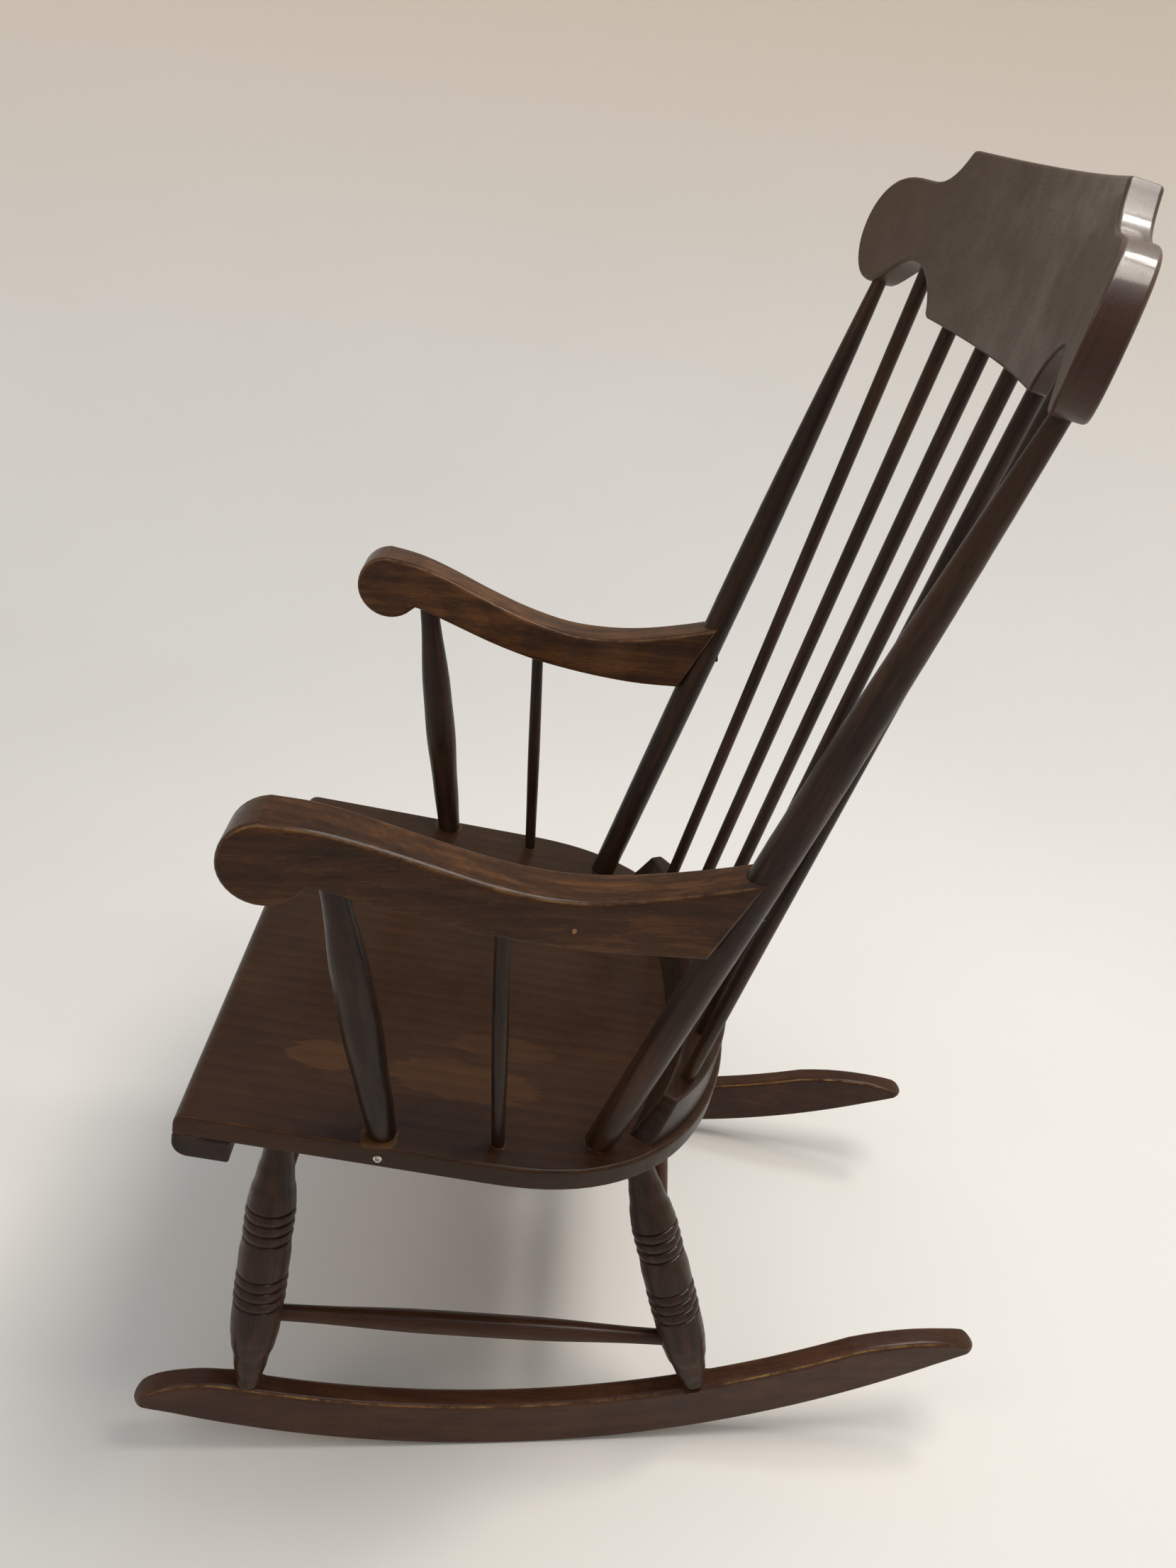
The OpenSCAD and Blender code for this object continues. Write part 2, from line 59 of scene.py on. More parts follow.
def new_material(name):
    """An empty node material and its tree."""
    made = bpy.data.materials.new(name)
    made.use_nodes = True
    made.node_tree.nodes.clear()
    return made, made.node_tree


def plug(tree, socket, value):
    """Links a socket to another one, or sets it to a value."""
    if isinstance(value, bpy.types.NodeSocket):
        tree.links.new(value, socket)
    else:
        socket.default_value = value


def add(tree, kind, inputs=None, **settings):
    """A shader node with its settings, and with each input set to a value or linked to a socket."""
    made = tree.nodes.new(kind)
    for name, value in settings.items():
        setattr(made, name, value)
    for key, value in (inputs or {}).items():
        plug(tree, made.inputs[key], value)
    return made


def attribute(tree, name, output="Fac"):
    """What the mesh stores under a name."""
    return add(tree, "ShaderNodeAttribute", attribute_name=name).outputs[output]


def object_place(tree):
    """The surface's place in the chair's own frame."""
    return add(tree, "ShaderNodeTexCoord").outputs["Object"]


def maths(tree, operation, a, b=0.0, c=0.0, clamp=False):
    """A number worked out from up to three others."""
    made = add(tree, "ShaderNodeMath", {0: a, 1: b, 2: c}, operation=operation, use_clamp=clamp)
    return made.outputs[0]


def vector_maths(tree, operation, a, b=None, output=0):
    """A vector, or the number in another output, worked out from one or two vectors."""
    inputs = {0: a} if b is None else {0: a, 1: b}
    return add(tree, "ShaderNodeVectorMath", inputs, operation=operation).outputs[output]


def noise(tree, vector, along, across=None, detail=3.0, roughness=0.55):
    """Noise with so many swings to the metre along X, and across it if that differs."""
    across = along if across is None else across
    place = vector_maths(tree, "MULTIPLY", vector, (along, across, across))
    made = add(tree, "ShaderNodeTexNoise",
               {"Vector": place, "Scale": 1.0, "Detail": detail, "Roughness": roughness})
    return made.outputs["Fac"]


def remap(tree, value, low, high, to_low=0.0, to_high=1.0):
    """A smooth step from one range to another, held at both ends."""
    made = add(tree, "ShaderNodeMapRange",
               {"Value": value, "From Min": low, "From Max": high, "To Min": to_low, "To Max": to_high},
               clamp=True, interpolation_type="SMOOTHSTEP")
    return made.outputs["Result"]


def blend(tree, share, a, b):
    """Colour a turning into colour b."""
    made = add(tree, "ShaderNodeMix", data_type="RGBA", blend_type="MIX", clamp_factor=True)
    for index, value in ((0, share), (6, a), (7, b)):
        plug(tree, made.inputs[index], value)
    return made.outputs[2]


def bump(tree, height, strength, distance):
    """A surface direction tilted by a height."""
    made = add(tree, "ShaderNodeBump", {"Strength": strength, "Distance": distance, "Height": height})
    return made.outputs[0]


def finish_material(tree, inputs):
    """Ends a material in one shader."""
    shader = add(tree, "ShaderNodeBsdfPrincipled", inputs)
    add(tree, "ShaderNodeOutputMaterial", {0: shader.outputs[0]})


def colour(red, green, blue):
    """A colour given as 0 to 255 on a screen, as the shader wants it."""
    def linear(c):
        c = c / 255
        return c / 12.92 if c <= 0.04045 else ((c + 0.055) / 1.055) ** 2.4
    return (linear(red), linear(green), linear(blue), 1.0)


def shade(tint, share):
    """A colour of the same hue, darker for a share under 1 and lighter above it."""
    return tuple(c * share for c in tint[:3]) + (1.0,)


# ---- Wood ----

RING_DRIFT = 0.024              # How far a growth ring wanders, in metres
LATE_WOOD = 0.86                # Share of a year's ring before its late wood starts
CLOUD_DEPTH = 0.18              # Share of the stain's range that clouds take up
FIBRE_DEPTH = 0.10              # Share of the stain's range that fibres take up
LINE_DRIFT = 0.008              # How far the lines in end grain wander, in metres
CHIP_NOISE = (300.0, 300.0)     # Swings to the metre in a chip's outline, along X and across it
RING_TIP_NOISE = (260.0, 45.0)  # The same for a paler ring tip


def growth_rings(tree, grain, drift, gap, tilt):
    """Rings a gap in millimetres apart, round a pith that leans from the board: 0 to 1 and back."""
    parts = add(tree, "ShaderNodeSeparateXYZ", {0: grain}).outputs
    lean = maths(tree, "MULTIPLY_ADD", parts[0], tilt, parts[2])
    radial = add(tree, "ShaderNodeCombineXYZ", {0: parts[1], 1: lean}).outputs[0]
    radius = vector_maths(tree, "LENGTH", radial, output="Value")
    bent = maths(tree, "MULTIPLY_ADD", drift, RING_DRIFT, radius)
    year = maths(tree, "FRACT", maths(tree, "MULTIPLY", bent, 1 / (gap * MM)))
    return maths(tree, "SUBTRACT", remap(tree, year, 0.0, LATE_WOOD), remap(tree, year, LATE_WOOD, 1.0))


def stain(tree, tone, deep, middle, light):
    """The stain's colour for a tone from 0 to 1."""
    ramp = add(tree, "ShaderNodeValToRGB", {0: tone})
    stops = ramp.color_ramp.elements
    stops[0].position, stops[0].color = 0.0, deep
    stops[1].position, stops[1].color = 1.0, light
    stops.new(0.5).color = middle
    return ramp.outputs[0]


def spot(tree, place, centre, size, ragged, swings):
    """A patch round a centre, with an outline torn by a noise."""
    tear = noise(tree, place, *swings, detail=5.0, roughness=0.6)
    away = vector_maths(tree, "SUBTRACT", place, centre)
    reach = vector_maths(tree, "LENGTH", vector_maths(tree, "DIVIDE", away, size), output="Value")
    edge = maths(tree, "MULTIPLY_ADD", maths(tree, "SUBTRACT", tear, 0.5), ragged, reach)
    return remap(tree, edge, 1.02, 0.94)


def cut_rings(tree, grain, drift, across):
    """The fine lines that the rings leave in end grain, given the direction across them."""
    depth = vector_maths(tree, "DOT_PRODUCT", grain, across, output="Value")
    return noise(tree, maths(tree, "MULTIPLY_ADD", drift, LINE_DRIFT, depth), 520.0, roughness=0.6)


def wood(name, deep, middle, light, worn, gloss=0.36, ring_gap=7.0, ring_depth=0.4,
         streak_depth=0.5, tilt=0.05, edge_wear=0.6, pore_depth=0.6, sheen=0.16, coat=0.14,
         end_tint=None, end_depth=0.4, end_coat=0.0, end_lines=None, figures=(), spots=()):
    """Stained beech: growth rings, streaks, pores and flecks along the grain, worn on its edges.

    The attribute "grain" is a place in the timber: X along the grain, in metres. "end_grain" is
    1 where a face cuts across it, and "polish" the same where that face looks up. Figures are
    paler tips of growth rings that come to the surface, and spots are chips in the finish. Each
    has a centre and a size in the chair's frame and a strength. End lines are the cut rings in
    end grain, given by the direction across them.
    """
    made, tree = new_material(name)
    place = object_place(tree)
    grain = attribute(tree, "grain", "Vector")
    end = attribute(tree, "end_grain")

    # Rings, streaks, pores and flecks, all drawn out along the grain
    drift = noise(tree, grain, 3.0, 14.0)
    rings = growth_rings(tree, grain, drift, ring_gap, tilt)
    streaks = noise(tree, grain, 5.0, 95.0, detail=5.0, roughness=0.6)
    fibres = noise(tree, grain, 22.0, 640.0, roughness=0.6)
    pore = remap(tree, noise(tree, grain, 100.0, 1000.0, detail=1.5), 0.60, 0.72)
    fleck = remap(tree, noise(tree, grain, 60.0, 520.0, detail=1.0), 0.62, 0.74)
    cloud = noise(tree, place, 6.0, detail=4.0, roughness=0.6)
    tone = maths(tree, "MULTIPLY_ADD", remap(tree, streaks, 0.3, 0.7, -1.0, 1.0), streak_depth / 2, 0.5)
    tone = maths(tree, "MULTIPLY_ADD", maths(tree, "SUBTRACT", rings, 0.5), ring_depth / 2, tone)
    tone = maths(tree, "MULTIPLY_ADD", remap(tree, cloud, 0.3, 0.7, -1.0, 1.0), CLOUD_DEPTH, tone)
    tone = maths(tree, "MULTIPLY_ADD", remap(tree, fibres, 0.3, 0.7, -1.0, 1.0), FIBRE_DEPTH, tone)
    paint = stain(tree, tone, deep, middle, light)
    paint = blend(tree, maths(tree, "MULTIPLY", fleck, 0.3), paint, light)
    for centre, size, strength in figures:
        tip = spot(tree, place, centre, size, 0.9, RING_TIP_NOISE)
        paint = blend(tree, maths(tree, "MULTIPLY", tip, strength), paint, worn)
    paint = blend(tree, maths(tree, "MULTIPLY", pore, pore_depth), paint, shade(deep, 0.7))

    # End grain soaks up more stain, and its lacquer is thicker where it looks up
    end_paint, coat_inputs = end_tint or shade(deep, 0.6), {"Coat Weight": coat}
    if end_lines:
        lines = cut_rings(tree, grain, drift, end_lines)
        end_paint = blend(tree, remap(tree, lines, 0.3, 0.7), shade(end_paint, 0.5), shade(end_paint, 1.6))
        coat_inputs["Coat Normal"] = bump(tree, maths(tree, "MULTIPLY", lines, end), 0.3, 0.2 * MM)
    if end_coat:
        polish = attribute(tree, "polish")
        coat_inputs["Coat Weight"] = maths(tree, "MULTIPLY_ADD", polish, end_coat, coat)
    paint = blend(tree, maths(tree, "MULTIPLY", end, end_depth), paint, end_paint)

    # The finish is thin on handled edges and gone in a chip
    patchy = noise(tree, place, 42.0, detail=5.0, roughness=0.68)
    rubbed = maths(tree, "MULTIPLY", remap(tree, attribute(tree, "wear"), 0.4, 1.0), edge_wear)
    thin = maths(tree, "MULTIPLY", remap(tree, patchy, 0.38, 0.68), rubbed)
    for centre, size, strength in spots:
        chip = spot(tree, place, centre, size, 0.6, CHIP_NOISE)
        thin = maths(tree, "MAXIMUM", thin, maths(tree, "MULTIPLY", chip, strength))
    bare = blend(tree, remap(tree, streaks, 0.35, 0.65), worn, shade(worn, 0.6))
    paint = blend(tree, thin, paint, bare)

    # Smears, bare wood and pores are less glossy, and the grain stands out a little
    smear = noise(tree, place, 26.0, detail=4.0, roughness=0.65)
    rough = remap(tree, smear, 0.25, 0.75, gloss - 0.07, gloss + 0.10)
    rough = maths(tree, "MULTIPLY_ADD", thin, 0.10, rough)
    rough = maths(tree, "MULTIPLY_ADD", pore, 0.12, rough, clamp=True)
    height = maths(tree, "MULTIPLY_ADD", fibres, 0.3, maths(tree, "MULTIPLY", pore, -0.8))
    height = maths(tree, "MULTIPLY_ADD", rings, 0.12, height)
    height = maths(tree, "MULTIPLY_ADD", smear, 0.5, height)
    finish_material(tree, {
        "Base Color": paint, "Roughness": rough, "Normal": bump(tree, height, 0.35, 0.25 * MM),
        "IOR": 1.47, "Specular IOR Level": sheen, "Coat Roughness": 0.13, "Coat IOR": 1.45,
        **coat_inputs})
    return made


def steel(name):
    """Nickel-plated steel with fine turning marks and a little dirt."""
    made, tree = new_material(name)
    place = object_place(tree)
    marks = noise(tree, place, 900.0)
    dirt = noise(tree, place, 260.0, detail=5.0, roughness=0.7)
    paint = blend(tree, remap(tree, dirt, 0.35, 0.7), colour(214, 212, 204), colour(120, 112, 100))
    finish_material(tree, {
        "Base Color": paint, "Roughness": remap(tree, dirt, 0.3, 0.7, 0.22, 0.45),
        "Normal": bump(tree, marks, 0.2, 0.05 * MM), "Metallic": 1.0})
    return made


# ---- Shapes ----

def bare_mesh(node, longest=0.03):
    """The CAD node's shape with its corners joined, its flat faces whole and no long edge."""
    mesh = bmesh.new()
    mesh.from_mesh(NODES[node].data)
    bmesh.ops.remove_doubles(mesh, verts=mesh.verts, dist=2e-6)
    bmesh.ops.dissolve_limit(mesh, angle_limit=math.radians(0.4), verts=mesh.verts, edges=mesh.edges)
    for edge in list(mesh.edges):
        pieces = int(edge.calc_length() / longest)
        for k in range(pieces, 0, -1):
            edge, _ = bmesh.utils.edge_split(edge, edge.verts[0], k / (k + 1))
    return mesh


# Boards that meet face to face, with a small groove where their eased edges meet
JOINED = {"seat_plank": "front_roll", "front_roll": "seat_plank"}


def neighbours(node, near=0.002):
    """Search trees of the CAD nodes whose joints with this one stay sharp."""
    low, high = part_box(node)
    found = []
    for other, thing in NODES.items():
        if other in (node, JOINED.get(node)):
            continue
        a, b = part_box(other)
        if all(a[i] < high[i] + near and b[i] > low[i] - near for i in range(3)):
            verts = [v.co for v in thing.data.vertices]
            faces = [tuple(p.vertices) for p in thing.data.polygons]
            found.append(BVHTree.FromPolygons(verts, faces))
    return found


def eased_edges(mesh, trees, sharp=40, clearance=0.0009):
    """Outer edges over an angle in degrees that no other part's surface touches."""
    chosen = []
    for edge in mesh.edges:
        if len(edge.link_faces) != 2 or edge.calc_face_angle_signed(0.0) < math.radians(sharp):
            continue
        ends = [v.co for v in edge.verts]
        points = [(ends[0] + ends[1]) / 2] + ends
        if all(tree.find_nearest(p, clearance)[0] is None for tree in trees for p in points):
            chosen.append(edge)
    return chosen


def small_loop(face, longest=9):
    """The corners of a short loop in which a face's outline crosses itself, if there is one."""
    along = face.normal.orthogonal().normalized()
    across = face.normal.cross(along)
    corners = list(face.verts)
    flat = [Vector((v.co.dot(along), v.co.dot(across))) for v in corners]
    count = len(flat)
    for i in range(count):
        for j in range(i + 2, min(i + longest, i + count - 1)):
            ends = [flat[k % count] for k in (i, i + 1, j, j + 1)]
            if intersect_line_line_2d(*ends) is not None:
                return [corners[k % count] for k in range(i + 1, j + 1)]
    return []


def draw_in_loops(mesh, reach=0.008, tries=3):
    """Merges the corners of each small loop that rounding left where two edges overran."""
    for face in [f for f in mesh.faces if len(f.verts) > 4]:
        for _ in range(tries):
            corners = small_loop(face) if face.is_valid and len(face.verts) > 4 else []
            if not corners or max((v.co - corners[0].co).length for v in corners) > reach:
                break
            middle = sum((v.co for v in corners), Vector()) / len(corners)
            bmesh.ops.pointmerge(mesh, verts=corners, merge_co=middle)
            mesh.normal_update()


def flat_region(first, near=2e-5):
    """The faces round a face that lie in its plane, out to the eased edges."""
    found, waiting = {first}, [first]
    while waiting:
        for edge in waiting.pop().edges:
            for face in edge.link_faces:
                if face in found or face.material_index != first.material_index:
                    continue
                if all(abs((v.co - first.verts[0].co).dot(first.normal)) < near for v in face.verts):
                    found.add(face)
                    waiting.append(face)
    return found


def refill_flats(mesh):
    """Fills each flat region anew between its outline and the bores in it."""
    done = set()
    for first in sorted(mesh.faces, key=lambda f: -f.calc_area()):
        if first in done or first.material_index:
            continue
        region = flat_region(first)
        done |= region
        if len(region) < 2:
            continue
        normal = first.normal.copy()
        rim = [e for f in region for e in f.edges if sum(g in region for g in e.link_faces) == 1]
        inner = {e for f in region for e in f.edges} - set(rim)
        bmesh.ops.delete(mesh, geom=list(region), context="FACES_ONLY")
        bmesh.ops.delete(mesh, geom=[e for e in inner if e.is_valid], context="EDGES")
        made = bmesh.ops.triangle_fill(mesh, use_beauty=True, edges=rim, normal=normal)["geom"]
        for face in [part for part in made if isinstance(part, bmesh.types.BMFace)]:
            done.add(face)
            face.normal_update()
            if face.normal.dot(normal) < 0:
                face.normal_flip()


def tip_share(edge, low, high, reach=0.04):
    """1 along a rocker, falling to a quarter at its pointed tips."""
    y = (edge.verts[0].co.y + edge.verts[1].co.y) / 2
    return min(max(min(y - low.y, high.y - y) / reach, 0.25), 1.0)


def ease_edges(mesh, node, over, under, segments=4):
    """Rounds a mesh's sharp free edges: by one radius where they face up, by another below.

    It returns the new mesh, whose faces along the edges have material index 1.
    """
    layer = mesh.edges.layers.float.new("bevel_weight_edge")
    widest = max(over, under)
    for edge in eased_edges(mesh, neighbours(node)):
        up = max(f.normal.z for f in edge.link_faces)
        share = min(max((up + 0.1) / 0.5, 0.0), 1.0)
        radius = under + (over - under) * share
        if "rocker" in node:
            radius *= tip_share(edge, *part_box(node))
        edge[layer] = radius / widest
    data = bpy.data.meshes.new(node + "_raw")
    mesh.to_mesh(data)
    mesh.free()
    for _ in range(2):
        data.materials.append(None)
    raw = bpy.data.objects.new(node + "_raw", data)
    bpy.context.scene.collection.objects.link(raw)
    bevel = raw.modifiers.new("ease", "BEVEL")
    bevel.width, bevel.segments, bevel.limit_method = widest, segments, "WEIGHT"
    bevel.use_clamp_overlap, bevel.material, bevel.loop_slide = False, 1, False
    bpy.context.view_layer.update()
    shaped = raw.evaluated_get(bpy.context.evaluated_depsgraph_get()).to_mesh()
    eased = bmesh.new()
    eased.from_mesh(shaped)
    bpy.data.objects.remove(raw)
    bpy.data.meshes.remove(data)
    draw_in_loops(eased)
    refill_flats(eased)
    return eased


# ---- Pieces ----

TIMBER_STEP = 0.37               # How far along the timber each piece is cut from the one before
PLANK_CUT = (0.0, 0.02, 0.06)    # Where a sawn piece lies from the pith, in metres
TURNED_CUT = (0.0, 0.012, 0.03)  # Where a turned piece lies from the pith, in metres


def grain_axes(points, along):
    """Rotation whose rows are the grain's direction and two directions across it."""
    if along is None:
        first = np.linalg.svd(points - points.mean(0), full_matrices=False)[2][0]
    else:
        first = np.array(along, float)
    first = first * (1 if first[np.argmax(abs(first))] > 0 else -1)
    second = np.cross((1, 0, 0) if abs(first[0]) < 0.7 else (0, 0, 1), first)
    second = second / np.linalg.norm(second)
    return np.array([first, second, np.cross(first, second)])


def edge_wear_of(mesh):
    """1 along the middle of each rounded edge and 0 from its borders outwards."""
    inside = {v for v in mesh.verts if all(f.material_index == 1 for f in v.link_faces)}
    deep = {v for v in inside if all(e.other_vert(v) in inside for e in v.link_edges)}
    return [1.0 if v in deep else 0.25 if v in inside else 0.0 for v in mesh.verts]


def store(data, name, kind, domain, field, values):
    """Writes one attribute of a mesh."""
    made = data.attributes.new(name, kind, domain)
    made.data.foreach_set(field, np.asarray(values, np.float32).ravel())


def store_timber(data, index, along, cut):
    """Stores where each point lies in the timber, and which faces cut across the grain."""
    points = np.array([v.co for v in data.vertices], float)
    axes = grain_axes(points, along)
    shift = np.array([TIMBER_STEP, 0.0, 0.0]) * index + np.array(cut)
    facing = np.array([abs(Vector(axes[0]).dot(p.normal)) for p in data.polygons])
    upward = np.array([min(max((p.normal.z + 0.1) / 0.4, 0.0), 1.0) for p in data.polygons])
    store(data, "grain", "FLOAT_VECTOR", "POINT", "vector", (points - points.mean(0)) @ axes.T + shift)
    store(data, "end_grain", "FLOAT", "FACE", "value", facing ** 3)
    store(data, "polish", "FLOAT", "FACE", "value", facing * upward)


def make_piece(node, index, material, over=0.0, under=0.0, along=None, smooth=35, cut=PLANK_CUT):
    """Replaces a CAD node by its own shape with eased edges, and stores where the timber runs."""
    mesh = bare_mesh(node)
    if over:
        mesh = ease_edges(mesh, node, over, under)
    for face in mesh.faces:
        face.smooth = True
    for edge in mesh.edges:
        edge.smooth = edge.calc_face_angle(0.0) < math.radians(smooth)
    mesh.verts.index_update()
    wear = edge_wear_of(mesh)
    for face in mesh.faces:
        face.material_index = 0
    data = bpy.data.meshes.new(node + "_piece")
    mesh.to_mesh(data)
    mesh.free()
    store_timber(data, index, along, cut)
    store(data, "wear", "FLOAT", "POINT", "value", wear)
    data.materials.clear()
    data.materials.append(material)
    piece = bpy.data.objects.new(node + "_look", data)
    bpy.context.scene.collection.objects.link(piece)
    piece.modifiers.new("even_shading", "WEIGHTED_NORMAL").keep_sharp = True
    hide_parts(node)
    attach(piece, "root")
    return piece


# ---- Where the marks lie ----

def turned_axis(node, slice_height=0.012):
    """The middles of the lower and the upper end of a turned part."""
    verts = np.array([v.co for v in NODES[node].data.vertices])
    z = verts[:, 2]
    return verts[z < z.min() + slice_height].mean(0), verts[z > z.max() - slice_height].mean(0)


def foot_ring(node, radius, strength=0.5):
    """A thin ring of bare wood on the seat round the foot of a turned part."""
    top = max((p for p in NODES["seat_plank"].data.polygons if p.normal.z > 0.9), key=lambda p: p.area)
    low, high = turned_axis(node)
    normal = np.array(top.normal)
    share = (np.array(top.center) - low) @ normal / ((high - low) @ normal)
    size = radius + 0.0012
    return tuple(low + share * (high - low)), (size, size * 1.04, 0.004), strength


def scuff(node, share, away, size, strength):
    """A rubbed patch on a turned part, at a share of its length and away from its axis."""
    low, high = turned_axis(node)
    return tuple(low + share * (high - low) + np.array(away)), size, strength


def across_back():
    """The direction square to the back and its crest, which lean as the spindles do."""
    low, high = turned_axis("back_spindle_3")
    lean = high - low
    return tuple(np.array((0.0, -lean[2], lean[1])) / math.hypot(lean[1], lean[2]))


seat_low, seat_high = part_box("seat_plank")
arm_low, arm_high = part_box("left_armrest")
# Pale ring tips in the seat's near half: inset from its near side and distance from its front,
# size, strength
SEAT_TIPS = [((0.091, 0.098), (0.018, 0.028), 0.18), ((0.088, 0.215), (0.024, 0.065), 0.15),
             ((0.136, 0.245), (0.016, 0.045), 0.11)]
SEAT_FIGURES = [((seat_high.x - x, seat_low.y + y, seat_high.z - 0.03), (width, depth, 0.2), strength)
                for (x, y), (width, depth), strength in SEAT_TIPS]
ARM_CHIP = [((arm_high.x, -0.041, arm_low.z + 0.021), (0.04, 0.0022, 0.0030), 0.9)]
FEET = [foot_ring(side + part, radius) for side in ("left_", "right_")
        for part, radius in (("arm_stump", 0.0150), ("arm_spindle", 0.0056), ("back_post", 0.0122))]
# Rubbed patches up the near back post: share of its length, size, strength
POST_SCUFFS = [(0.46, (0.010, 0.008, 0.030), 0.22), (0.55, (0.010, 0.009, 0.045), 0.34),
               (0.64, (0.010, 0.007, 0.022), 0.22)]
SCUFFS = [scuff("left_back_post", share, (0.004, 0.012, 0.0), size, strength)
          for share, size, strength in POST_SCUFFS]


# ---- Materials ----

FRAME = wood("stained_beech", colour(24, 14, 9), colour(44, 28, 19), colour(66, 43, 28),
             colour(122, 90, 58), edge_wear=0.35, spots=SCUFFS)
# A paler copy of the frame's stain for the legs: painted light that brightens them where they stand in
# shade under the seat
PAINTED_LIGHT_LEG = wood("stained_beech_underframe_painted_light", colour(32, 20, 13), colour(54, 35, 25), colour(74, 50, 35),
           colour(122, 90, 58), edge_wear=0.35)
ROCKER = wood("stained_beech_rocker", colour(40, 22, 14), colour(60, 36, 23), colour(80, 51, 32),
              colour(176, 134, 80), edge_wear=0.75, ring_depth=0.2, streak_depth=0.3, end_depth=0.1)
CREST = wood("stained_beech_crest", colour(48, 31, 20), colour(62, 42, 28), colour(76, 53, 36),
             colour(112, 82, 52), edge_wear=0.3, ring_gap=16.0, ring_depth=0.06, streak_depth=0.08,
             pore_depth=0.15, gloss=0.42, sheen=0.28, end_tint=colour(48, 20, 10), end_depth=0.9,
             end_coat=0.5, end_lines=across_back())
ARM = wood("stained_beech_arm", colour(36, 20, 10), colour(60, 36, 18), colour(98, 62, 31),
           colour(158, 120, 76), edge_wear=0.45, ring_gap=10.0, ring_depth=0.3, tilt=0.09,
           sheen=0.12, coat=0.2, spots=ARM_CHIP)
SEAT = wood("stained_beech_seat", colour(34, 20, 11), colour(48, 29, 16), colour(64, 40, 22),
            colour(112, 76, 40), edge_wear=0.5, ring_gap=15.0, ring_depth=0.4, streak_depth=0.2,
            tilt=0.03, pore_depth=0.4, sheen=0.13, figures=SEAT_FIGURES, spots=FEET)
STEEL = steel("nickel_plate")

# Sawn parts: material, radius of the upper and of the lower edges, grain direction
SAWN = {
    "seat_plank": (SEAT, 0.0032, 0.0022, (0, 1, 0)),
    "front_roll": (FRAME, 0.0022, 0.0022, (1, 0, 0)),
    "back_rail": (FRAME, 0.0028, 0.0022, (1, 0, 0)),
    "crest_rail": (CREST, 0.0030, 0.0026, (1, 0, 0)),
    "left_armrest": (ARM, 0.0052, 0.0030, (0, 1, 0)),
    "right_armrest": (ARM, 0.0052, 0.0030, (0, 1, 0)),
    "left_rocker": (ROCKER, 0.0050, 0.0020, (0, 1, 0)),
    "right_rocker": (ROCKER, 0.0050, 0.0020, (0, 1, 0)),
}


def dress_nodes():
    """Gives every CAD node its look: new pieces for the wood, and a material for the screws."""
    for index, node in enumerate(sorted(NODES)):
        if "screw" in node:
            NODES[node].data.materials.clear()
            NODES[node].data.materials.append(STEEL)
            continue
        if node in SAWN:
            piece = make_piece(node, index, *SAWN[node])
        else:
            # Legs take the paler copy of the frame's stain and stretchers the rocker's paler wood: painted
            # light that brightens them in the shade under the seat
            material = PAINTED_LIGHT_LEG if "leg" in node else ROCKER if "stretcher" in node else FRAME
            piece = make_piece(node, index, material, smooth=50, cut=TURNED_CUT)


# ---- Stage, light and camera ----

def pale_paper(name, rise):
    """Matt off-white paper, warmer as it rises to a height."""
    made, tree = new_material(name)
    place = object_place(tree)
    paint = blend(tree, noise(tree, place, 2.0), colour(230, 228, 224), colour(224, 221, 216))
    up = add(tree, "ShaderNodeSeparateXYZ", {0: place}).outputs[2]
    paint = blend(tree, remap(tree, up, 0.0, rise), paint, colour(226, 212, 196))
    finish_material(tree, {"Base Color": paint, "Roughness": 0.75})
    return made


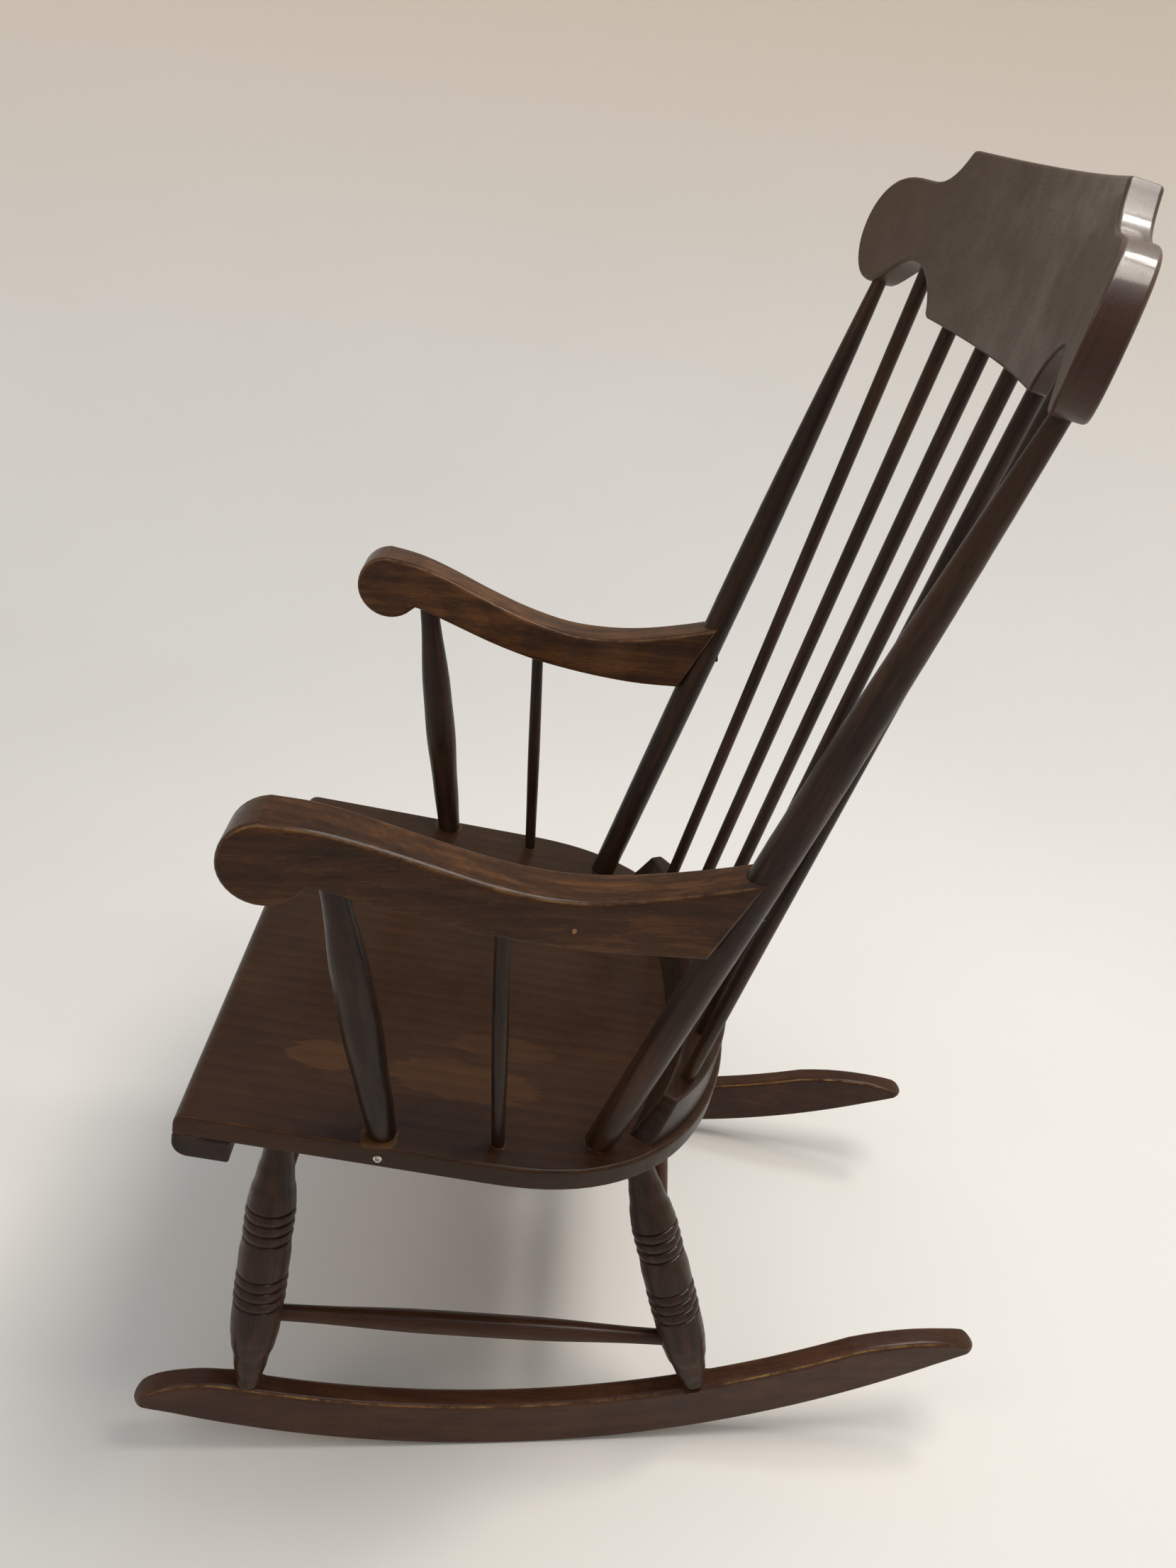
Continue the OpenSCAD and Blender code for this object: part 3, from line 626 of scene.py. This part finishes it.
def make_stage(radius=3.0, rise=1.6, height=3.4, corner_steps=15):
    """A pale floor that sweeps up into a wall all round."""
    profile = [(0.0, 0.0), (radius - rise, 0.0)]
    profile += [(radius - rise + rise * math.sin(a), rise - rise * math.cos(a))
                for a in (math.pi / 2 * k / corner_steps for k in range(1, corner_steps + 1))]
    profile.append((radius, height))
    mesh = bmesh.new()
    verts = [mesh.verts.new((x, 0, z)) for x, z in profile]
    edges = [mesh.edges.new(pair) for pair in zip(verts, verts[1:])]
    bmesh.ops.spin(mesh, geom=verts + edges, cent=(0, 0, 0), axis=(0, 0, 1), angle=2 * math.pi,
                   steps=96, use_merge=True)
    bmesh.ops.remove_doubles(mesh, verts=mesh.verts, dist=1e-5)
    bmesh.ops.recalc_face_normals(mesh, faces=mesh.faces)
    for face in mesh.faces:
        face.smooth = True
    data = bpy.data.meshes.new("floor")
    mesh.to_mesh(data)
    mesh.free()
    data.materials.append(pale_paper("pale_floor", rise))
    floor = bpy.data.objects.new("floor", data)
    bpy.context.scene.collection.objects.link(floor)


def make_light(name, place, target, size, power, tint):
    """A round soft light at a place, turned to a target."""
    data = bpy.data.lights.new(name, "AREA")
    data.shape, data.size, data.energy, data.color = "DISK", size, power, tint
    light = bpy.data.objects.new(name, data)
    light.location = place
    light.rotation_euler = (Vector(target) - Vector(place)).to_track_quat("-Z", "Y").to_euler()
    bpy.context.scene.collection.objects.link(light)


def make_world(tint, strength):
    """Even light from all round."""
    world = bpy.data.worlds.new("room")
    world.use_nodes = True
    background = world.node_tree.nodes["Background"]
    background.inputs["Color"].default_value = tint
    background.inputs["Strength"].default_value = strength
    bpy.context.scene.world = world


def make_camera():
    """The camera stands on the sitter's left, at the height of the crest, and looks down."""
    data = bpy.data.cameras.new("camera")
    data.lens, data.sensor_width, data.sensor_fit = 28.96, 36.0, "AUTO"
    data.clip_start = 0.02
    camera = bpy.data.objects.new("camera", data)
    camera.location = (0.9592, -0.0699, 1.0992)
    camera.rotation_euler = tuple(math.radians(a) for a in (61.13, -5.686, 90.958))
    bpy.context.scene.collection.objects.link(camera)
    bpy.context.scene.camera = camera


dress_nodes()
make_stage()
make_light("skylight", (0.1, 0.8, 2.7), (0, 0.1, 0.4), 1.2, 40.0, (1.0, 0.94, 0.85))
make_light("lamp", (-0.75, 1.2, 2.6), (0, 0.2, 0.6), 0.5, 15.0, (1.0, 0.96, 0.88))
make_light("window", (1.0, -1.5, 2.3), (0, 0, 0.4), 1.2, 7.0, (1.0, 0.88, 0.74))
make_world((0.64, 0.80, 1.0, 1.0), 0.66)
make_camera()
bpy.context.scene.view_settings.view_transform = "Standard"
